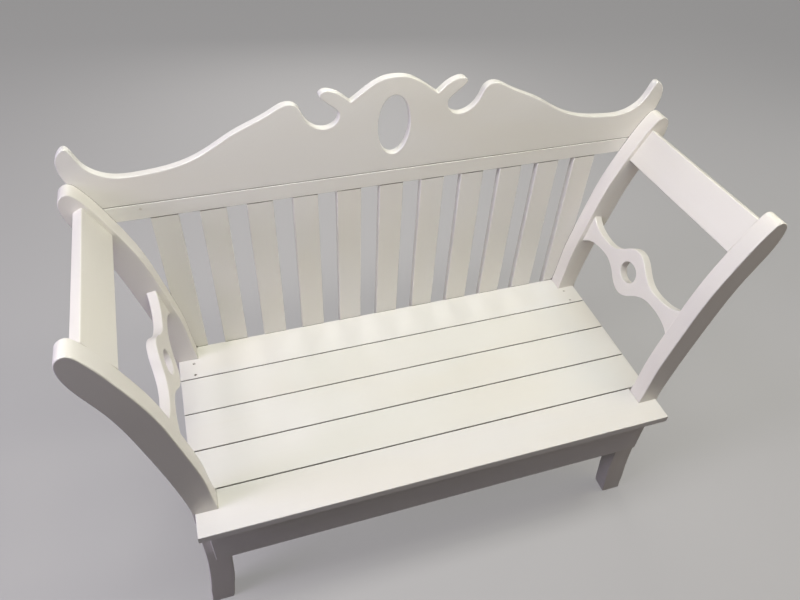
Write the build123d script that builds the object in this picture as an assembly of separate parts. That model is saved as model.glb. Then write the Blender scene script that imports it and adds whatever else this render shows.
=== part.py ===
from build123d import *
import os
from math import atan2, cos, sin

# A painted wooden two-seat garden bench with flared arms, a slatted back and a carved crest board.
# Right-hand frame in millimetres: +X to the right seen from the front, +Y to the back, +Z up.
# The origin is on the floor under the middle of the bench.

os.makedirs("parts", exist_ok=True)

# seat
seat_height = 462.0             # floor to the top of the seat boards
seat_length = 1214.0
board_count = 5
board_width = 112.8
board_gap = 3.0
board_thickness = 20.0
notch_clearance = 0.4           # round each post where a board is notched
notch_run = 8.0                 # how far a notch runs on behind its post
cut_overrun = 1.0               # how far a notch's cut runs past the board

# posts: leg and arm support cut from one plank
post_thickness = 45.0           # along Y
post_inset = 52.0               # seat board end to the post's inner flat
post_width = 58.0               # across the straight length below the seat
post_setback = 61.5             # seat front edge to the front posts
arm_rise = 571.5                # seat top to the top of a post
arm_sweep = 192.0               # inner flat to the outermost point of a front post
rear_flare = 12.0               # the rear posts reach this much further out
foot_splay_width = 22.0         # how far a foot turns out
foot_corner = 4.0

# arms and the shaped boards under them
arm_width = 96.0
arm_thickness = 24.0
arm_skew = 17.0                 # the rear end lies this much deeper in its post than the front end
arm_drop = 11.5                 # and this much further down the slope
splat_thickness = 24.0
splat_setback = 9.0             # front post's inner edge to the splat's face
splat_skew = 7.0
splat_drop = 16.0
splat_end_height = 88.0
splat_neck_height = 32.0
splat_lobe_height = 135.0
splat_hole_length = 65.0
splat_hole_height = 55.0

# seat frame
apron_height = 170.0
apron_thickness = 24.0
apron_lap = 34.0                # how far the apron runs across each front post
side_rail_height = 90.0
side_rail_thickness = 24.0
lower_rail_height = 90.0
lower_rail_thickness = 22.0
bearer_height = 60.0
bearer_thickness = 24.0
cleat_size = 24.0

# back
back_thickness = 20.0
slat_count = 11
slat_width = 62.8
slat_shoulder_gap = 0.6         # under the top rail
tenon_thickness = 10.0
tenon_length = 15.0
tenon_shoulder = 6.0
tenon_clearance = 0.15
top_rail_drop = 118.0           # top of a post to the underside of the top rail
top_rail_height = 41.0
top_rail_lap = 38.0             # how far the top rail runs behind each post
crest_height = 244.0
crest_gap = 0.8                 # open seam between the top rail and the crest
crest_setin = 14.0              # ear tip inside the outermost point of the rear posts
crest_foot_lap = 46.0           # how far the crest's lower corner runs behind each post
crest_corner = 6.0
crest_cusp = 3.0
oval_width = 80.0
oval_height = 153.0
oval_rise = 122.7               # crest underside to the middle of the oval

# eased edges
edge_round = 2.0                # boards and rails
shape_round = 2.5               # posts, arms, splats and crest

# dowels
dowel_diameter = 10.0
thin_dowel_diameter = 8.0
dowel_clearance = 0.05
dowel_end_gap = 1.0
post_dowel_depth = 20.0
rail_dowel_depth = 30.0
apron_dowel_depth = 18.0
crest_dowel_depth = 20.0
bearer_dowel_depth = 14.0
rail_dowel_drops = (42.0, 78.0)         # below the top of a rail
apron_dowel_drops = (30.0, 85.0, 140.0)
bearer_dowel_drops = (15.0, 45.0)

# screws
screw_diameter = 4.5
screw_head_diameter = 7.8
screw_head_depth = 2.6
screw_slot_width = 0.9
screw_slot_depth = 1.2
screw_clearance = 0.05
screw_sink = 0.6                # head below the wood around it
seat_screw_bite = 28.0          # how deep each kind goes into the second piece
slat_screw_bite = 14.0
back_screw_bite = 19.0
cleat_screw_bite = 13.0
cleat_side_bite = 14.0
slat_screw_spread = 15.0        # either side of a slat's middle
slat_screw_drops = (25.0, 62.0) # below the top of the lower rail
crest_screw_rises = (14.0, 41.0)

# places worked out from the sizes
seat_depth = board_count * board_width + (board_count - 1) * board_gap
y_front = -(seat_depth + back_thickness) / 2
y_back = y_front + seat_depth                   # rear edge of the seat, front of the back
y_behind = y_back + back_thickness
seat_under = seat_height - board_thickness
flat_x = seat_length / 2 - post_inset           # inner flat of every post
outer_x = flat_x + post_width
rear_sweep = arm_sweep + rear_flare
front_post_y = (y_front + post_setback, y_front + post_setback + post_thickness)
rear_post_y = (y_back - post_thickness, y_back)
between_y = (front_post_y[1], rear_post_y[0])
between_length = between_y[1] - between_y[0]
apron_y = (front_post_y[0] - apron_thickness, front_post_y[0])
apron_bottom = seat_under - apron_height
apron_half = flat_x + apron_lap
lower_rail_y = (y_back - lower_rail_thickness, y_back)
lower_rail_bottom = seat_under - lower_rail_height
inside_y = (apron_y[1], lower_rail_y[0])
side_rail_x = (flat_x, flat_x + side_rail_thickness)
cleat_x = (flat_x - cleat_size, flat_x)
slat_pitch = 2 * flat_x / (slat_count - 1)
top_rail_under = seat_height + arm_rise - top_rail_drop
top_rail_z = (top_rail_under, top_rail_under + top_rail_height)
crest_under = top_rail_z[1] + crest_gap
crest_reach = flat_x + rear_sweep - crest_setin

# post outline above the seat, as shares of the sweep and of the rise
splat_low = (0.147, 0.364)
splat_high = (0.2375, 0.504)
arm_low = (0.555, 0.825)
arm_high = (0.766, 0.965)
inner_edge = [(0.012, 0.040), (0.059, 0.205), splat_low, splat_high, (0.355, 0.655), arm_low, arm_high]
top_cap = [(0.880, 1.000), (0.966, 0.986), (1.000, 0.948)]
outer_edge = [(0.953, 0.877), (0.687, 0.727), (0.394, 0.497), (0.159, 0.248), (0.022, 0.060)]
# leg outline, as shares of the foot's splay and of the drop below the apron
inner_leg = [(0.10, 0.42), (0.27, 0.60), (0.58, 0.79), (1.0, 1.0)]
outer_leg = [(0.22, 0.40), (0.45, 0.60), (0.74, 0.80), (1.0, 1.0)]


def block(x, y, z):
    """A box between pairs of limits."""
    size = (x[1] - x[0], y[1] - y[0], z[1] - z[0])
    middle = ((x[0] + x[1]) / 2, (y[0] + y[1]) / 2, (z[0] + z[1]) / 2)
    return Pos(*middle) * Box(*size)


def plank(x, y, z, axis):
    """A box with the four edges along one axis eased."""
    return fillet(block(x, y, z).edges().filter_by(axis), edge_round)


def upright(face, y):
    """A face drawn in X and Z, given its thickness between two values of y."""
    plane = Plane(origin=(0, y[1], 0), x_dir=(1, 0, 0), z_dir=(0, -1, 0))
    return extrude(plane * face, amount=y[1] - y[0])


def middle(limits):
    return (limits[0] + limits[1]) / 2


def between(limits, share):
    """The place at a share of the way from the first limit to the second."""
    return limits[0] + (limits[1] - limits[0]) * share


def mirrored(solids):
    return [mirror(solid, about=Plane.YZ) for solid in solids]


# fixings: each function gives the solids and the holes that they sit in
turn_to = {"x": Rot(0, 90, 0), "y": Rot(-90, 0, 0), "z": Rot(0, 0, 0)}


def dowels(places, axis, diameter, depths):
    """Dowels along an axis, going one depth before each place and another after it."""
    before, after = depths
    offset = (after - before) / 2
    length = before + after
    pins = []
    holes = []
    for place in places:
        where = Pos(*place) * turn_to[axis] * Pos(0, 0, offset)
        pins.append(where * Cylinder(diameter / 2, length))
        holes.append(where * Cylinder(diameter / 2 + dowel_clearance, length + 2 * dowel_end_gap))
    return pins, holes


def screw(length, grow=0.0):
    """A countersunk screw, head up at the origin; grow makes it into its own hole."""
    head = screw_head_diameter / 2 + grow
    shank = screw_diameter / 2 + grow
    profile = Polyline((0, 0), (head, 0), (shank, -screw_head_depth), (shank, screw_diameter - length),
                       (0, -length - grow), close=True)
    body = revolve(Plane.XZ * make_face(profile), axis=Axis.Z)
    if grow:
        return body + Pos(0, 0, screw_sink) * Cylinder(head, 2 * screw_sink)
    slot = Box(screw_head_diameter * 0.6, screw_slot_width, 2 * screw_slot_depth)
    return body - slot - Rot(0, 0, 90) * slot


def screws(places, turn, length):
    """Screws with their heads just under the surface at each place, turned to their direction."""
    sites = [Pos(*place) * turn * Pos(0, 0, -screw_sink) for place in places]
    made = [site * screw(length) for site in sites]
    holes = [site * screw(length, screw_clearance) for site in sites]
    return made, holes


def both_sides(fixings):
    """Right-hand fixings with their mirror images added."""
    made, holes = fixings
    return made + mirrored(made), holes + mirrored(holes)


def drilled(solid, *fixings):
    """The solid less the holes of every fixing that reaches it."""
    box = solid.bounding_box()
    for made, holes in fixings:
        for hole in holes:
            if box.overlaps(hole.bounding_box()):
                solid = solid - hole
    return solid


# posts
def upper_point(share, sweep=arm_sweep):
    """A point of a post's inner edge above the seat."""
    return (flat_x + sweep * share[0], seat_height + arm_rise * share[1])


def inner_edge_x(height, sweep):
    """How far out a post's inner edge is at a height, between its outline points."""
    points = [(flat_x, seat_height)] + [upper_point(share, sweep) for share in inner_edge + top_cap[:1]]
    for (x0, z0), (x1, z1) in zip(points, points[1:]):
        if height <= z1:
            return x0 + (x1 - x0) * (height - z0) / (z1 - z0)
    return points[-1][0]


def post_face(sweep):
    """The outline shared by the posts, right-hand, drawn in X and Z."""
    above = [upper_point(share, sweep) for share in inner_edge + top_cap]
    for share, rise in outer_edge:
        above.append((outer_x + (sweep - post_width) * share, seat_height + arm_rise * rise))
    above = [(flat_x, seat_height)] + above + [(outer_x, seat_height)]
    inside = [(flat_x, apron_bottom)]
    outside = [(outer_x, apron_bottom)]
    for splay, drop in inner_leg:
        inside.append((flat_x + foot_splay_width * splay, apron_bottom * (1 - drop)))
    for splay, drop in outer_leg:
        outside.append((outer_x + foot_splay_width * splay, apron_bottom * (1 - drop)))
    outline = [
        Spline(*above, tangents=[(0, 1), (0, -1)]),
        Line(above[-1], outside[0]),
        Spline(*outside, tangents=[(0, -1), (0.25, -1)]),
        Line(outside[-1], inside[-1]),
        Spline(*reversed(inside), tangents=[(-0.35, 1), (0, 1)]),
        Line(inside[0], above[0]),
    ]
    return make_face(outline)


def post(y, sweep):
    """A right-hand post between two values of y."""
    solid = upright(post_face(sweep), y)
    foot_edges = solid.faces().sort_by(Axis.Z)[0].edges().filter_by(Axis.Y)
    solid = fillet(foot_edges, foot_corner)
    return fillet(solid.edges().filter_by(Axis.Y, reverse=True), shape_round)


# arms and the shaped boards under them
class SlopedBoard:
    """A board between two posts, its face near the chord through two points of the inner edge."""

    def __init__(self, low, high, setback, skew, drop, thickness):
        start = upper_point(low)
        end = upper_point(high)
        angle = atan2(end[1] - start[1], end[0] - start[0])
        self.up = Vector(cos(angle), 0, sin(angle))
        self.out = Vector(sin(angle), 0, -cos(angle))
        chord = Vector((start[0] + end[0]) / 2, 0, (start[1] + end[1]) / 2)
        self.front = chord + self.out * setback + Vector(0, between_y[0], 0)
        self.rear = chord + self.out * (setback + skew) - self.up * drop + Vector(0, between_y[1], 0)
        self.thickness = thickness

    def solid(self, face):
        """A face drawn along and across the board, given its thickness and cut off at the posts."""
        along = (self.rear - self.front).normalized()
        origin = (self.front + self.rear) / 2
        plane = Plane(origin=origin, x_dir=along, z_dir=along.cross(self.up))
        body = extrude(plane * face, amount=self.thickness)
        body = body & block((0, 2 * outer_x), between_y, (0, 2 * top_rail_z[1]))
        rims = [edge for edge in body.edges() if abs(edge.position_at(0).Y - edge.position_at(1).Y) > 1]
        rims += [edge for edge in body.edges() if edge.is_closed]
        return fillet(rims, shape_round)

    def joints(self, spread, diameter):
        """Two dowels in each end."""
        made = []
        holes = []
        front_depths = (post_dowel_depth, rail_dowel_depth)
        rear_depths = (rail_dowel_depth, post_dowel_depth)
        for end, depths in [(self.front, front_depths), (self.rear, rear_depths)]:
            core = end + self.out * (self.thickness / 2)
            places = [core + self.up * spread, core - self.up * spread]
            pins, bores = dowels(places, "y", diameter, depths)
            made += pins
            holes += bores
        return made, holes


arm = SlopedBoard(arm_low, arm_high, 0.0, arm_skew, arm_drop, arm_thickness)
splat = SlopedBoard(splat_low, splat_high, splat_setback, splat_skew, splat_drop, splat_thickness)
overrun = arm_skew + arm_drop + splat_skew + splat_drop     # spare length cut off at the posts


def arm_board():
    return arm.solid(Rectangle(between_length + 2 * overrun, arm_width))


def side_splat():
    """A shaped board with a central lobe, narrow necks and an oval hole."""
    end = splat_end_height / 2
    neck = splat_neck_height / 2
    lobe = splat_lobe_height / 2
    half = between_length / 2
    quarter = [
        (0.0, lobe),
        (0.15, neck + 0.80 * (lobe - neck)),
        (0.28, neck + 0.38 * (lobe - neck)),
        (0.43, neck + 0.07 * (lobe - neck)),
        (0.60, neck),
        (0.80, neck + 0.20 * (end - neck)),
        (0.93, neck + 0.60 * (end - neck)),
        (1.0, end),
    ]
    right = [(share * half, height) for share, height in quarter]
    right.append((half + overrun, end + overrun))
    top = [(-along, height) for along, height in reversed(right[1:])] + right
    bottom = [(along, -height) for along, height in reversed(top)]
    outline = [Spline(*top), Line(top[-1], bottom[0]), Spline(*bottom), Line(bottom[-1], top[0])]
    return splat.solid(make_face(outline) - Ellipse(splat_hole_length / 2, splat_hole_height / 2))


# back
def crest_face():
    """The crest's outline, drawn in X and Z from shares of its reach and height."""
    foot_x = inner_edge_x(crest_under, arm_sweep) + crest_foot_lap
    arch = [(0, 1), (0.045, 0.979), (0.091, 0.904), (0.1415, 0.793)]
    hook = [(0.1415, 0.793), (0.160, 0.842), (0.180, 0.888), (0.204, 0.918), (0.226, 0.921),
            (0.2385, 0.886), (0.230, 0.845), (0.198, 0.762), (0.179, 0.694), (0.183, 0.618),
            (0.221, 0.549), (0.268, 0.605), (0.293, 0.722), (0.306, 0.800)]
    shoulder = [(0.326, 0.832), (0.390, 0.766), (0.500, 0.612), (0.610, 0.424), (0.700, 0.336),
                (0.790, 0.305), (0.875, 0.325), (0.925, 0.425)]
    ear = [(0.946, 0.544), (0.9665, 0.641), (0.989, 0.590), (1.0, 0.486), (0.986, 0.303)]

    def drawn(shares):
        return [(crest_reach * share, crest_under + crest_height * rise) for share, rise in shares]

    def flipped(points):
        return [(-x, z) for x, z in reversed(points)]

    right_arch = drawn(arch)
    right = drawn(hook + shoulder + ear)
    left = flipped(right)
    outline = [
        Spline(*flipped(right_arch)[:-1], *right_arch),
        Spline(*right),
        Line(right[-1], (foot_x, crest_under)),
        Line((foot_x, crest_under), (-foot_x, crest_under)),
        Line((-foot_x, crest_under), left[0]),
        Spline(*left),
    ]
    face = make_face(outline)
    cusps = [corner for corner in face.vertices() if abs(abs(corner.X) - right[0][0]) < 0.01]
    face = fillet(cusps, crest_cusp)
    corners = [corner for corner in face.vertices() if abs(abs(corner.X) - foot_x) < 0.01]
    corners += [corner for corner in face.vertices() if abs(abs(corner.X) - right[-1][0]) < 0.01]
    face = fillet(corners, crest_corner)
    return face - Pos(0, crest_under + oval_rise) * Ellipse(oval_width / 2, oval_height / 2)


def crest_board():
    solid = upright(crest_face(), (y_back, y_behind))
    return fillet(solid.edges().filter_by(Axis.Y, reverse=True), shape_round)


def slat_middle(index):
    return -flat_x + index * slat_pitch


def tenon(index, grow=0.0):
    """The tenon on a slat, or with grow the mortise that takes it."""
    half = slat_width / 2 - tenon_shoulder + grow
    x = (slat_middle(index) - half, slat_middle(index) + half)
    half = tenon_thickness / 2 + grow
    y = (y_back + back_thickness / 2 - half, y_back + back_thickness / 2 + half)
    return block(x, y, (top_rail_z[0] - slat_shoulder_gap - edge_round, top_rail_z[0] + tenon_length + grow))


def slat(index):
    x = (slat_middle(index) - slat_width / 2, slat_middle(index) + slat_width / 2)
    z = (lower_rail_bottom, top_rail_z[0] - slat_shoulder_gap)
    return plank(x, (y_back, y_behind), z, Axis.Z) + tenon(index)


def top_rail():
    half = inner_edge_x(top_rail_z[0], arm_sweep) + top_rail_lap
    solid = plank((-half, half), (y_back, y_behind), top_rail_z, Axis.X)
    for index in range(slat_count):
        solid = solid - tenon(index, tenon_clearance)
    return solid


# seat
def board_y(index):
    start = y_front + index * (board_width + board_gap)
    return (start, start + board_width)


def seat_board(index):
    """One seat board; the first and the last are notched for the posts."""
    y = board_y(index)
    half = seat_length / 2
    solid = block((-half, half), y, (seat_under, seat_height))
    for post_y in (front_post_y, rear_post_y):
        notch_y = (post_y[0] - notch_clearance, post_y[1] + notch_run)
        notch_z = (seat_under - cut_overrun, seat_height + cut_overrun)
        notch = block((flat_x - notch_clearance, half + cut_overrun), notch_y, notch_z)
        if notch_y[0] < y[1] and notch_y[1] > y[0]:
            solid = solid - notch - mirror(notch, about=Plane.YZ)
    outside = []
    for edge in solid.faces().sort_by(Axis.Z)[-1].edges():
        spot = edge.center()
        if min(abs(spot.Y - y[0]), abs(spot.Y - y[1]), half - abs(spot.X)) < 0.01:
            outside.append(edge)
    return fillet(outside, edge_round)


# every joint's fixings
rail_tops = [seat_under - drop for drop in rail_dowel_drops]
side_mid = middle(side_rail_x)
cleat_mid = middle(cleat_x)

arm_dowels = both_sides(arm.joints(arm_width * 0.28, dowel_diameter))
splat_dowels = both_sides(splat.joints(splat_end_height * 0.17, thin_dowel_diameter))

side_front = dowels([(side_mid, between_y[0], z) for z in rail_tops], "y", dowel_diameter,
                    (post_dowel_depth, rail_dowel_depth))
side_rear = dowels([(side_mid, between_y[1], z) for z in rail_tops], "y", dowel_diameter,
                   (rail_dowel_depth, post_dowel_depth))
side_rail_dowels = both_sides((side_front[0] + side_rear[0], side_front[1] + side_rear[1]))
lower_places = [(flat_x, middle(lower_rail_y), z) for z in rail_tops]
lower_rail_dowels = both_sides(dowels(lower_places, "x", dowel_diameter,
                                      (rail_dowel_depth, post_dowel_depth)))
apron_places = [(flat_x + apron_lap / 2, apron_y[1], seat_under - drop) for drop in apron_dowel_drops]
apron_dowels = both_sides(dowels(apron_places, "y", dowel_diameter, (apron_dowel_depth, post_dowel_depth)))
bearer_places = [(0, y, seat_under - drop) for y in inside_y for drop in bearer_dowel_drops]
bearer_dowels = dowels(bearer_places, "y", thin_dowel_diameter, (bearer_dowel_depth, bearer_dowel_depth))

# crest dowels stand in every other gap between the slats, counted from both ends
last_gap = slat_count - 2
crest_gaps = sorted({0, 2, 4, last_gap, last_gap - 2, last_gap - 4})
crest_places = [(slat_middle(gap + 0.5), middle((y_back, y_behind)), crest_under) for gap in crest_gaps]
crest_dowels = dowels(crest_places, "z", thin_dowel_diameter, (crest_dowel_depth, crest_dowel_depth))

# the rear seat board is screwed down into the side rails, the others from below through the cleats
rear_board_y = (board_y(board_count - 1)[0], rear_post_y[0])
rear_board_places = [(side_mid, between(rear_board_y, share), seat_height) for share in (0.15, 0.76)]
rear_board_screws = both_sides(screws(rear_board_places, Rot(0, 0, 0), board_thickness + seat_screw_bite))
cleat_screw_places = []
for index in range(board_count - 1):
    covered = (max(board_y(index)[0], inside_y[0]), board_y(index)[1])
    for share in (0.25, 0.75):
        cleat_screw_places.append((cleat_mid, between(covered, share), seat_under - cleat_size))
seat_cleat_screws = both_sides(screws(cleat_screw_places, Rot(180, 0, 0), cleat_size + cleat_screw_bite))
gap_places = [(cleat_x[0], board_y(index)[0] - board_gap / 2, seat_under - cleat_size / 2)
              for index in range(2, board_count)]
cleat_side_screws = both_sides(screws(gap_places, Rot(0, -90, 0), cleat_size + cleat_side_bite))

# the back is screwed on from behind
behind = Rot(-90, 0, 0)
slat_places = []
for index in range(slat_count):
    for side, drop in zip((-slat_screw_spread, slat_screw_spread), slat_screw_drops):
        lean = side if index <= slat_count // 2 else -side
        slat_places.append((slat_middle(index) + lean, y_behind, seat_under - drop))
slat_screws = screws(slat_places, behind, back_thickness + slat_screw_bite)
rail_screw_z = middle(top_rail_z)
rail_end_x = inner_edge_x(top_rail_z[0], arm_sweep) + top_rail_lap
back_places = [((inner_edge_x(rail_screw_z, rear_sweep) + rail_end_x) / 2, y_behind, rail_screw_z)]
crest_end_x = inner_edge_x(crest_under, arm_sweep) + crest_foot_lap
for rise in crest_screw_rises:
    z = crest_under + rise
    back_places.append(((inner_edge_x(z, rear_sweep) + crest_end_x) / 2, y_behind, z))
back_screws = both_sides(screws(back_places, behind, back_thickness + back_screw_bite))


def write(node, *shapes):
    """Write the solids of one node to its own file."""
    solids = [solid for shape in shapes for solid in shape.solids()]
    export_step(solids[0] if len(solids) == 1 else Compound(solids), f"parts/{node}.step")


def write_pair(node, solid):
    """Write a right-hand piece and its mirror image."""
    write(f"{node}_right", solid)
    write(f"{node}_left", mirror(solid, about=Plane.YZ))


# side frames
front_fixings = [arm_dowels, splat_dowels, side_rail_dowels, apron_dowels]
rear_fixings = [arm_dowels, splat_dowels, side_rail_dowels, lower_rail_dowels, back_screws, slat_screws]
write_pair("front_post", drilled(post(front_post_y, arm_sweep), *front_fixings))
write_pair("rear_post", drilled(post(rear_post_y, rear_sweep), *rear_fixings))
write_pair("arm_board", drilled(arm_board(), arm_dowels))
write_pair("side_splat", drilled(side_splat(), splat_dowels))
side_rail = plank(side_rail_x, between_y, (seat_under - side_rail_height, seat_under), Axis.Y)
write_pair("side_rail", drilled(side_rail, side_rail_dowels, rear_board_screws, cleat_side_screws))
cleat = plank(cleat_x, inside_y, (seat_under - cleat_size, seat_under), Axis.Y)
write_pair("seat_cleat", drilled(cleat, seat_cleat_screws, cleat_side_screws))

# rails across
apron = block((-apron_half, apron_half), apron_y, (apron_bottom, seat_under))
front_and_underside = apron.faces().sort_by(Axis.Y)[0].edges() + apron.faces().sort_by(Axis.Z)[0].edges()
apron = fillet(front_and_underside, edge_round)
write("front_apron", drilled(apron, apron_dowels, bearer_dowels))
lower_rail = plank((-flat_x, flat_x), lower_rail_y, (lower_rail_bottom, seat_under), Axis.X)
write("lower_back_rail", drilled(lower_rail, lower_rail_dowels, bearer_dowels, slat_screws))
bearer_half = bearer_thickness / 2
bearer = plank((-bearer_half, bearer_half), inside_y, (seat_under - bearer_height, seat_under), Axis.Y)
write("seat_bearer", drilled(bearer, bearer_dowels))

# seat
for index in range(board_count):
    write(f"seat_board_{index + 1}", drilled(seat_board(index), rear_board_screws, seat_cleat_screws))

# back
write("top_back_rail", drilled(top_rail(), crest_dowels, back_screws))
write("crest_board", drilled(crest_board(), crest_dowels, back_screws))
for index in range(slat_count):
    write(f"back_slat_{index + 1:02d}", drilled(slat(index), slat_screws))

# fixings, one node for each kind
for node, fixings in [
    ("arm_dowels", arm_dowels),
    ("splat_dowels", splat_dowels),
    ("side_rail_dowels", side_rail_dowels),
    ("lower_rail_dowels", lower_rail_dowels),
    ("apron_dowels", apron_dowels),
    ("bearer_dowels", bearer_dowels),
    ("crest_dowels", crest_dowels),
    ("rear_board_screws", rear_board_screws),
    ("seat_cleat_screws", seat_cleat_screws),
    ("cleat_side_screws", cleat_side_screws),
    ("slat_screws", slat_screws),
    ("back_screws", back_screws),
]:
    write(node, *fixings[0])
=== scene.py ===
import math

import bmesh
import bpy
from mathutils import Euler, Matrix, Vector


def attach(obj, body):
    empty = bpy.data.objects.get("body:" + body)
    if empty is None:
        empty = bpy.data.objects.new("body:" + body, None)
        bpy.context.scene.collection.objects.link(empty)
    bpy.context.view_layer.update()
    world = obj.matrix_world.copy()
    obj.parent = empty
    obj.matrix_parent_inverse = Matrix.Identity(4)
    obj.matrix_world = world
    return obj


# A white painted garden bench: paint, a filled nail, worn screws and a plain studio round its boards.
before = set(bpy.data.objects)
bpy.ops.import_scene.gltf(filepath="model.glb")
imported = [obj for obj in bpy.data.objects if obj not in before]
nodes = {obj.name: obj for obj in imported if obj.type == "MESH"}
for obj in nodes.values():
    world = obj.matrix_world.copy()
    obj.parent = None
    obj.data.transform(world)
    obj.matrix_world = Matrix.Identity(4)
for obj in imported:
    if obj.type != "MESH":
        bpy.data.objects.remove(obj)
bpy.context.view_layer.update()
print("stage: frame loaded,", len(nodes), "nodes")

cameraSpot = {
    "place": (-0.4560, -1.0814, 1.8793),
    "turn": (46.247, -2.575, -17.657),      # degrees
    "lens": 30.17,                          # millimetres, as the sensor's width is
    "sensor": 36.0,
    "nearest": 0.05,
}


def addCamera():
    data = bpy.data.cameras.new("benchCamera")
    data.lens = cameraSpot["lens"]
    data.sensor_width = cameraSpot["sensor"]
    data.clip_start = cameraSpot["nearest"]
    camera = bpy.data.objects.new("benchCamera", data)
    camera.location = cameraSpot["place"]
    camera.rotation_euler = Euler([math.radians(angle) for angle in cameraSpot["turn"]])
    bpy.context.scene.collection.objects.link(camera)
    bpy.context.scene.camera = camera


addCamera()
print("stage: camera set")


nodeGrid = {"columns": 8, "across": 220, "down": 300}
mixColours = (6, 7)                         # a Mix node's sockets for its two colours
mixResult = 2


# lays out the nodes of one material or of the world
class LookBuilder:
    def __init__(self, owner):
        owner.use_nodes = True
        self.tree = owner.node_tree
        self.tree.nodes.clear()
        self.count = 0

    def add(self, kind, **settings):
        node = self.tree.nodes.new(kind)
        row, column = divmod(self.count, nodeGrid["columns"])
        node.location = (column * nodeGrid["across"], -row * nodeGrid["down"])
        self.count += 1
        for name, value in settings.items():
            setattr(node, name, value)
        return node

    def join(self, source, target):
        self.tree.links.new(source, target)

    # a socket takes either another node's output or a plain value
    def feed(self, socket, value):
        if isinstance(value, bpy.types.NodeSocket):
            self.join(value, socket)
        elif isinstance(value, tuple) and len(value) == 3 and socket.type == "RGBA":
            socket.default_value = (*value, 1.0)
        else:
            socket.default_value = value

    def maths(self, operation, first, second):
        node = self.add("ShaderNodeMath", operation=operation, use_clamp=True)
        self.feed(node.inputs[0], first)
        self.feed(node.inputs[1], second)
        return node.outputs[0]

    def ramp(self, value, low, high, toLow=0.0, toHigh=1.0):
        node = self.add("ShaderNodeMapRange", interpolation_type="SMOOTHSTEP")
        for socket, setting in zip(node.inputs, (value, low, high, toLow, toHigh)):
            self.feed(socket, setting)
        return node.outputs["Result"]

    def tint(self, amount, first, second):
        node = self.add("ShaderNodeMix", data_type="RGBA")
        self.feed(node.inputs["Factor"], amount)
        for place, colour in zip(mixColours, (first, second)):
            self.feed(node.inputs[place], colour)
        return node.outputs[mixResult]

    # noise whose blobs are about size long on each axis
    def blobs(self, place, size, shift=(0.0, 0.0, 0.0), detail=2.0, distortion=0.0):
        mapping = self.add("ShaderNodeMapping")
        self.join(place, mapping.inputs["Vector"])
        mapping.inputs["Location"].default_value = shift
        mapping.inputs["Scale"].default_value = [1.0 / length for length in size]
        noise = self.add("ShaderNodeTexNoise")
        self.join(mapping.outputs["Vector"], noise.inputs["Vector"])
        noise.inputs["Scale"].default_value = 1.0
        noise.inputs["Detail"].default_value = detail
        noise.inputs["Distortion"].default_value = distortion
        return noise.outputs["Fac"]

    def bumped(self, height, metres, under=None):
        node = self.add("ShaderNodeBump")
        self.join(height, node.inputs["Height"])
        node.inputs["Distance"].default_value = metres
        if under is not None:
            self.join(under, node.inputs["Normal"])
        return node.outputs["Normal"]

    # painted shade: 0 in the open, up to most where faces within reach shut the surface in, as in an
    # open seam
    def shadeInHollows(self, reach, clear, shut, most=1.0):
        hollowShade = self.add("ShaderNodeAmbientOcclusion", samples=8)
        hollowShade.inputs["Distance"].default_value = reach
        return self.ramp(hollowShade.outputs["AO"], clear, shut, 0.0, most)

    # 0 on flat faces, 1 at corners within the radius; agree is how far the two normals do
    def corners(self, radius, agree):
        eased = self.add("ShaderNodeBevel", samples=6)
        eased.inputs["Radius"].default_value = radius
        flat = self.add("ShaderNodeNewGeometry")
        turned = self.add("ShaderNodeVectorMath", operation="DOT_PRODUCT")
        self.join(eased.outputs["Normal"], turned.inputs[0])
        self.join(flat.outputs["Normal"], turned.inputs[1])
        return self.ramp(turned.outputs["Value"], *agree)


# white satin paint, brushed along the grain of each board
paintLook = {
    "colour": (0.800, 0.785, 0.745),
    "creamy": (0.788, 0.762, 0.715),        # posts and arms, whose joints are filled
    "cream": (0.785, 0.755, 0.672),         # where the paint has yellowed
    "thin": (0.765, 0.725, 0.640),          # where it is thin on the edges
    "shadeAndDirt": (0.150, 0.128, 0.100),         # painted shade in open seams, and the dark of dust specks and open joints
    "yellowing": 0.45,
    "yellowFrom": (0.40, 0.70),             # the noise levels between which each effect sets in
    "grainShow": 0.10,
    "grainFrom": (0.50, 0.78),
    "roughness": (0.34, 0.46),
    "brushFrom": (0.35, 0.65),
    "wear": (0.10, 0.35),                   # least and most of the thin paint on an edge
    "handledWear": (0.10, 0.50),            # the same for posts and arms, which hands reach
    "wearFrom": (0.40, 0.60),
    "edgeRadius": 0.0024,
    "edgeAgree": (0.995, 0.90),
    "seamReach": 0.009,
    "seamFrom": (0.50, 0.36),
    "seamShade": 0.95,
    "gloss": 0.40,
    "coat": 0.08,
    "coatRoughness": 0.20,
    "patterns": {                           # size in metres along the board's grain and across it
        "grain": {"size": (0.42, 0.011), "detail": 3.5, "distortion": 0.8},
        "brush": {"size": (0.16, 0.0022)},
        "skin": {"size": (0.0022, 0.0022), "detail": 1.0},
        "wave": {"size": (0.30, 0.09), "detail": 1.0},
        "cloud": {"size": (0.50, 0.22), "distortion": 0.4},
        "patch": {"size": (0.060, 0.060), "detail": 3.0},
    },
    "reliefs": {                            # height in metres, in the order that they are laid
        "wave": 0.0016,                     # planed faces are never quite flat
        "grain": 0.00022,
        "brush": 0.00007,
        "skin": 0.00003,
    },
}


# noise with its blobs' long side on the board's own axis
def boardPattern(look, place, axis, shift, size, **settings):
    length, across = size
    blobSize = [length if letter == axis else across for letter in "xyz"]
    return look.blobs(place, blobSize, shift, **settings)


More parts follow.
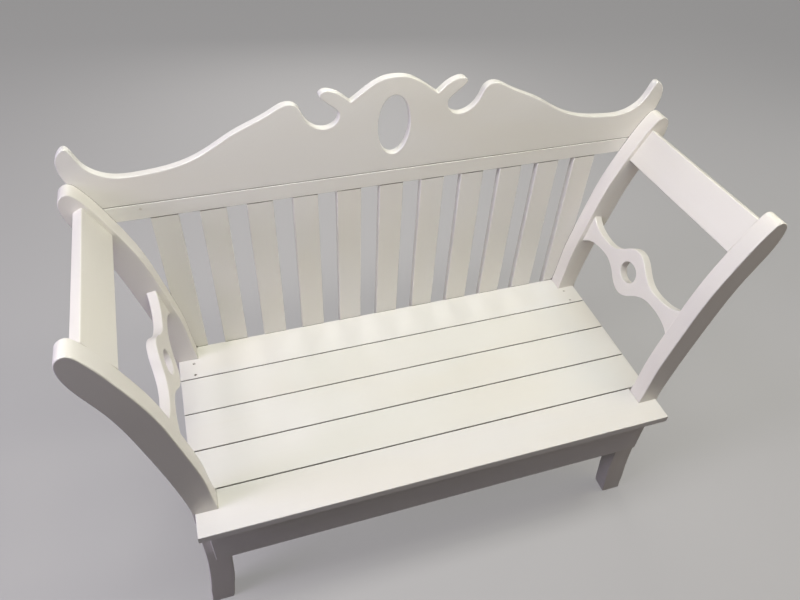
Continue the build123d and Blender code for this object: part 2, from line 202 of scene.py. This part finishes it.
def paintMaterial(name, axis, shift, colour=paintLook["colour"], wear=paintLook["wear"],
                  seamShading=paintLook["seamShade"]):
    material = bpy.data.materials.new(name)
    look = LookBuilder(material)
    place = look.add("ShaderNodeTexCoord").outputs["Object"]
    output = look.add("ShaderNodeOutputMaterial")
    paint = look.add("ShaderNodeBsdfPrincipled")
    look.join(paint.outputs["BSDF"], output.inputs["Surface"])

    patterns = {}
    for kind, pattern in paintLook["patterns"].items():
        patterns[kind] = boardPattern(look, place, axis, shift, **pattern)

    yellowed = look.ramp(patterns["cloud"], *paintLook["yellowFrom"], 0.0, paintLook["yellowing"])
    tone = look.tint(yellowed, colour, paintLook["cream"])
    streaked = look.ramp(patterns["grain"], *paintLook["grainFrom"], 0.0, paintLook["grainShow"])
    tone = look.tint(streaked, tone, paintLook["cream"])
    edges = look.corners(paintLook["edgeRadius"], paintLook["edgeAgree"])
    worn = look.ramp(patterns["patch"], *paintLook["wearFrom"], *wear)
    tone = look.tint(look.maths("MULTIPLY", edges, worn), tone, paintLook["thin"])
    # painted shade where nearby faces close in, in open seams
    if seamShading:
        hollowShade = look.shadeInHollows(paintLook["seamReach"], *paintLook["seamFrom"], seamShading)
        tone = look.tint(hollowShade, tone, paintLook["shadeAndDirt"])
    if name.startswith("seat_board"):
        tone = look.tint(speckMask(look, place), tone, paintLook["shadeAndDirt"])
    for start, joint in jointLook["lines"].items():
        if name.startswith(start):
            tone = look.tint(jointLine(look, place, **joint), tone, paintLook["shadeAndDirt"])
    look.join(tone, paint.inputs["Base Color"])

    dull = look.ramp(patterns["brush"], *paintLook["brushFrom"], *paintLook["roughness"])
    look.join(dull, paint.inputs["Roughness"])
    paint.inputs["Specular IOR Level"].default_value = paintLook["gloss"]
    paint.inputs["Coat Weight"].default_value = paintLook["coat"]
    paint.inputs["Coat Roughness"].default_value = paintLook["coatRoughness"]

    normal = None
    for kind, metres in paintLook["reliefs"].items():
        normal = look.bumped(patterns[kind], metres, normal)
    look.join(normal, paint.inputs["Normal"])
    return material


# a few dark specks of dust caught in the paint; share is how many cells hold one
specks = {"perMetre": 18.0, "share": 0.05, "edge": (0.022, 0.014)}


def speckMask(look, place):
    cells = look.add("ShaderNodeTexVoronoi")
    look.join(place, cells.inputs["Vector"])
    cells.inputs["Scale"].default_value = specks["perMetre"]
    parts = look.add("ShaderNodeSeparateColor")
    look.join(cells.outputs["Color"], parts.inputs["Color"])
    chosen = look.maths("GREATER_THAN", parts.outputs[0], 1.0 - specks["share"])
    return look.maths("MULTIPLY", look.ramp(cells.outputs["Distance"], *specks["edge"]), chosen)


# fine open joints against the foot of a board, drawn in the paints whose names start so
jointLook = {
    "lines": {
        "slat": {"board": "top_back_rail", "side": "below", "reach": 0.0020},
        "crest": {"board": "crest_board", "side": "above", "reach": 0.0022},
    },
    "fullAt": 0.4,                          # the share of the reach that is fully dark
    "gapSize": 0.08,
    "gapFrom": (0.35, 0.55),
    "gapShade": (0.25, 0.85),
}


# a dark line that fades out over reach and is stronger where the joint has opened
def jointLine(look, place, board, side, reach):
    foot = min(corner[2] for corner in nodes[board].bound_box)
    parts = look.add("ShaderNodeSeparateXYZ")
    look.join(place, parts.inputs["Vector"])
    ends = (parts.outputs["Z"], foot) if side == "above" else (foot, parts.outputs["Z"])
    away = look.maths("SUBTRACT", *ends)
    gaps = look.blobs(place, [jointLook["gapSize"]] * 3)
    opened = look.ramp(gaps, *jointLook["gapFrom"], *jointLook["gapShade"])
    return look.maths("MULTIPLY", look.ramp(away, reach, reach * jointLook["fullAt"]), opened)


def coat(node, material):
    materials = nodes[node].data.materials
    materials.clear()
    materials.append(material)


# each seat board has its own tone, and its grain lies one step on from the last board's
seatPaints = {
    "step": (3.1, 0.7, 0.0),
    "tones": {
        "seat_board_1": (0.800, 0.786, 0.752),
        "seat_board_2": (0.797, 0.790, 0.742),
        "seat_board_3": (0.802, 0.795, 0.750),
        "seat_board_4": (0.795, 0.788, 0.740),
        "seat_board_5": (0.806, 0.798, 0.758),
    },
}
# the other paints: the axis of the grain, the pattern's shift and how the nodes' names start
otherPaints = {
    "rail_paint": ("x", (5.0, 0.0, 1.0), ("top_back_rail", "lower_back_rail", "front_apron")),
    "crest_paint": ("x", (9.0, 3.0, 2.0), ("crest_board",)),
    "slat_paint": ("z", (0.0, 2.0, 4.0), ("back_slat",)),
    "post_paint": ("z", (1.0, 6.0, 0.0), ("front_post", "rear_post")),
    "arm_paint": ("y", (2.0, 0.0, 3.0), ("arm_board", "side_splat")),
    "under_paint": ("y", (4.0, 1.0, 0.0), ("side_rail", "seat_cleat", "seat_bearer")),
}
filledPaints = ("post_paint", "arm_paint")  # their joints are filled, so no painted seam shade is laid on them


def paintBoards():
    for count, (node, tone) in enumerate(seatPaints["tones"].items()):
        shift = [step * count for step in seatPaints["step"]]
        coat(node, paintMaterial(node + "_paint", "x", shift, tone))
    for name, (axis, shift, starts) in otherPaints.items():
        if name in filledPaints:
            paint = paintMaterial(name, axis, shift, paintLook["creamy"], paintLook["handledWear"], 0.0)
        else:
            paint = paintMaterial(name, axis, shift)
        for node in nodes:
            if node.startswith(starts) and not node.endswith(("_dowels", "_screws")):
                coat(node, paint)


paintBoards()
print("stage: boards painted")


# dowels are bare beech, hidden in their bores
dowelLook = {
    "colour": (0.52, 0.36, 0.20),
    "dark": (0.38, 0.24, 0.12),
    "streak": (0.0012, 0.020, 0.0012),
    "streakFrom": (0.4, 0.7),
    "streakHeight": 0.0001,
    "roughness": 0.65,
}


def beechMaterial():
    material = bpy.data.materials.new("dowel_beech")
    look = LookBuilder(material)
    place = look.add("ShaderNodeTexCoord").outputs["Object"]
    output = look.add("ShaderNodeOutputMaterial")
    wood = look.add("ShaderNodeBsdfPrincipled")
    look.join(wood.outputs["BSDF"], output.inputs["Surface"])
    streak = look.blobs(place, dowelLook["streak"], detail=3.0)
    darker = look.ramp(streak, *dowelLook["streakFrom"])
    tone = look.tint(darker, dowelLook["colour"], dowelLook["dark"])
    look.join(tone, wood.inputs["Base Color"])
    wood.inputs["Roughness"].default_value = dowelLook["roughness"]
    look.join(look.bumped(streak, dowelLook["streakHeight"]), wood.inputs["Normal"])
    return material


# one nail head sunk in the top rail's front by its left end, filled and painted over
nailPlug = {
    "x": -0.602,
    "z": 0.944,
    "radius": 0.0036,
    "proud": 0.0002,
    "sunk": 0.0010,
    "edge": 0.00015,
    "sides": 32,
    # darker than the paint round it: painted shade standing for the dimple over the filled nail
    "colour": (0.600, 0.575, 0.535),
    "shift": (1.0, 1.0, 8.0),
}


def addNailPlug():
    front = min(corner[1] for corner in nodes["top_back_rail"].bound_box)
    depth = nailPlug["proud"] + nailPlug["sunk"]
    middle = Vector((nailPlug["x"], front + depth / 2 - nailPlug["proud"], nailPlug["z"]))
    facing = Matrix.Translation(middle) @ Matrix.Rotation(math.pi / 2, 4, "X")
    disc = bmesh.new()
    bmesh.ops.create_cone(disc, cap_ends=True, segments=nailPlug["sides"], radius1=nailPlug["radius"],
                          radius2=nailPlug["radius"], depth=depth, matrix=facing)
    bmesh.ops.bevel(disc, geom=disc.edges[:], offset=nailPlug["edge"], segments=2, profile=0.5,
                    affect="EDGES", material=-1)
    mesh = bpy.data.meshes.new("nail_plug")
    disc.to_mesh(mesh)
    disc.free()
    mesh.shade_smooth()
    mesh.materials.append(paintMaterial("nail_plug_paint", "x", nailPlug["shift"], nailPlug["colour"]))
    plug = bpy.data.objects.new("nail_plug", mesh)
    bpy.context.scene.collection.objects.link(plug)
    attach(plug, "root")


addNailPlug()
print("stage: nail plug set")


# screws: dull zinc under brushed-over paint, with painted shade darkening their slots and rims
screwLook = {
    "zinc": (0.33, 0.31, 0.28),
    "stain": (0.13, 0.10, 0.075),
    "paint": (0.700, 0.680, 0.620),
    "slot": (0.080, 0.066, 0.050),
    "blotch": 0.0030,
    "blotchFrom": (0.42, 0.62),
    "blotchHeight": 0.00008,
    "smear": 0.0045,
    "smearShift": (7.0, 0.0, 0.0),
    "smearFrom": (0.72, 0.76),
    "smearReach": 0.5,                      # how far full cover lowers those levels
    "slotReach": 0.0016,
    "slotFrom": (0.70, 0.35),
    "metallic": 0.85,
    "dullFrom": (0.3, 0.7),
    "roughness": (0.35, 0.6),
    "middle": (-0.1, 0.1),                  # where the right half's extra paint sets in
    "covers": {                             # from 0, bare zinc, to 1, painted; the right half's extra
        "screw_bare": (0.15, 0.0),
        "screw_stained": (0.46, 0.85),
        "screw_painted": (0.80, 0.0),
    },
}


def screwMaterial(name, cover, rightCover):
    material = bpy.data.materials.new(name)
    look = LookBuilder(material)
    place = look.add("ShaderNodeTexCoord").outputs["Object"]
    output = look.add("ShaderNodeOutputMaterial")
    metal = look.add("ShaderNodeBsdfPrincipled")
    look.join(metal.outputs["BSDF"], output.inputs["Surface"])
    blotch = look.blobs(place, [screwLook["blotch"]] * 3, detail=4.0)
    smear = look.blobs(place, [screwLook["smear"]] * 3, screwLook["smearShift"])
    low, high = [level - screwLook["smearReach"] * cover for level in screwLook["smearFrom"]]
    painted = look.ramp(smear, low, high)
    if rightCover:
        parts = look.add("ShaderNodeSeparateXYZ")
        look.join(place, parts.inputs["Vector"])
        rightPaint = look.ramp(parts.outputs["X"], *screwLook["middle"], 0.0, rightCover)
        painted = look.maths("MAXIMUM", painted, rightPaint)
    stained = look.ramp(blotch, *screwLook["blotchFrom"])
    tone = look.tint(stained, screwLook["zinc"], screwLook["stain"])
    tone = look.tint(painted, tone, screwLook["paint"])
    # painted shade in the slots and round the heads' rims
    slots = look.shadeInHollows(screwLook["slotReach"], *screwLook["slotFrom"])
    tone = look.tint(slots, tone, screwLook["slot"])
    look.join(tone, metal.inputs["Base Color"])
    look.join(look.maths("SUBTRACT", screwLook["metallic"], painted), metal.inputs["Metallic"])
    dull = look.ramp(blotch, *screwLook["dullFrom"], *screwLook["roughness"])
    look.join(dull, metal.inputs["Roughness"])
    look.join(look.bumped(blotch, screwLook["blotchHeight"]), metal.inputs["Normal"])
    return material


def fitFixings():
    beech = beechMaterial()
    screws = {}
    for name, covers in screwLook["covers"].items():
        screws[name] = screwMaterial(name, *covers)
    for node in nodes:
        if node.endswith("_dowels"):
            coat(node, beech)
        elif node == "rear_board_screws":
            coat(node, screws["screw_stained"])
        elif node.endswith("_screws"):
            coat(node, screws["screw_bare" if "cleat" in node else "screw_painted"])


fitFixings()
print("stage: fixings done")


# a plain pale studio, darker for the rays that light the bench than for those that see it
studio = {
    "floorSize": 14.0,
    "floorSeen": (0.270, 0.266, 0.264),
    "floorGlow": 0.90,                      # lifts the floor for the camera, not for the bench
    "floorBounce": (0.060, 0.052, 0.049),
    "floorRoughness": 0.85,
    "skyLight": (1.0, 0.90, 0.90),
    "skyStrength": 0.04,
    "skySeen": (0.50, 0.495, 0.49),
}
# strips over the seat, cool light from the left, warm light from the right and low in front
lamps = {
    "nearStrip": {"place": (0.0, -0.30, 2.20), "aim": (0.0, -0.20, 0.0), "size": (2.5, 0.25),
                  "power": 18.4, "colour": (1.0, 0.99, 0.95)},
    "farStrip": {"place": (0.25, -0.75, 4.50), "aim": (0.25, -0.30, 0.0), "size": (3.0, 0.50),
                 "power": 34.0, "colour": (0.90, 1.0, 0.84)},
    "leftWindow": {"place": (-4.00, -0.60, 2.40), "aim": (-0.20, 0.10, 0.80), "size": (1.4, 1.4),
                   "power": 70.0, "colour": (0.79, 0.70, 1.0)},
    "leftCool": {"place": (-1.60, -0.60, 2.60), "aim": (-0.40, 0.20, 0.95), "size": (0.6, 0.6),
                 "power": 8.5, "colour": (0.90, 0.84, 1.0)},
    "rightWarm": {"place": (1.50, -0.55, 2.70), "aim": (0.40, 0.20, 0.90), "size": (0.6, 0.6),
                  "power": 5.8, "colour": (1.0, 0.80, 0.42)},
    "lowFront": {"place": (1.80, -1.60, 0.80), "aim": (0.50, 0.00, 0.40), "size": (0.6, 0.6),
                 "power": 2.0, "colour": (1.0, 0.78, 0.74)},
    "rightSide": {"place": (3.60, 0.50, 1.50), "aim": (0.60, 0.00, 0.60), "size": (1.6, 1.6),
                  "power": 13.0, "colour": (1.0, 0.98, 0.96)},
    "behind": {"place": (0.40, 2.80, 1.60), "aim": (0.00, 0.30, 0.70), "size": (1.6, 1.6),
               "power": 24.0, "colour": (1.0, 0.97, 0.94)},
}


# 1 for the rays that should see the pale studio, 0 for the rays that light the bench
def seenRays(look):
    path = look.add("ShaderNodeLightPath")
    seen = look.maths("MAXIMUM", path.outputs["Is Camera Ray"], path.outputs["Is Glossy Ray"])
    return look.maths("MAXIMUM", seen, path.outputs["Is Transmission Ray"])


def floorMaterial():
    material = bpy.data.materials.new("studio_floor")
    look = LookBuilder(material)
    output = look.add("ShaderNodeOutputMaterial")
    surface = look.add("ShaderNodeBsdfPrincipled")
    seen = seenRays(look)
    tone = look.tint(seen, studio["floorBounce"], studio["floorSeen"])
    look.join(tone, surface.inputs["Base Color"])
    surface.inputs["Roughness"].default_value = studio["floorRoughness"]
    surface.inputs["Emission Color"].default_value = (*studio["floorSeen"], 1.0)
    glow = look.maths("MULTIPLY", seen, studio["floorGlow"])
    look.join(glow, surface.inputs["Emission Strength"])
    look.join(surface.outputs["BSDF"], output.inputs["Surface"])
    return material


def addFloor():
    sheet = bmesh.new()
    bmesh.ops.create_grid(sheet, x_segments=1, y_segments=1, size=studio["floorSize"] / 2)
    mesh = bpy.data.meshes.new("studio_floor")
    sheet.to_mesh(mesh)
    sheet.free()
    mesh.materials.append(floorMaterial())
    floor = bpy.data.objects.new("studio_floor", mesh)
    bpy.context.scene.collection.objects.link(floor)


def addSky():
    world = bpy.data.worlds.new("studio_sky")
    bpy.context.scene.world = world
    look = LookBuilder(world)
    output = look.add("ShaderNodeOutputWorld")
    light = look.add("ShaderNodeBackground")
    light.inputs["Color"].default_value = (*studio["skyLight"], 1.0)
    light.inputs["Strength"].default_value = studio["skyStrength"]
    seen = look.add("ShaderNodeBackground")
    seen.inputs["Color"].default_value = (*studio["skySeen"], 1.0)
    choose = look.add("ShaderNodeMixShader")
    look.join(seenRays(look), choose.inputs["Fac"])
    look.join(light.outputs["Background"], choose.inputs[1])
    look.join(seen.outputs["Background"], choose.inputs[2])
    look.join(choose.outputs["Shader"], output.inputs["Surface"])


def addLamp(name, lamp):
    data = bpy.data.lights.new(name, "AREA")
    data.shape = "RECTANGLE"
    data.size, data.size_y = lamp["size"]
    data.energy = lamp["power"]
    data.color = lamp["colour"]
    light = bpy.data.objects.new(name, data)
    light.location = lamp["place"]
    ahead = Vector(lamp["aim"]) - Vector(lamp["place"])
    light.rotation_euler = ahead.to_track_quat("-Z", "Y").to_euler()
    light.visible_camera = False
    bpy.context.scene.collection.objects.link(light)


addFloor()
addSky()
for lampName, lampSetting in lamps.items():
    addLamp(lampName, lampSetting)
bpy.context.scene.view_settings.view_transform = "Standard"
print("stage: studio set")
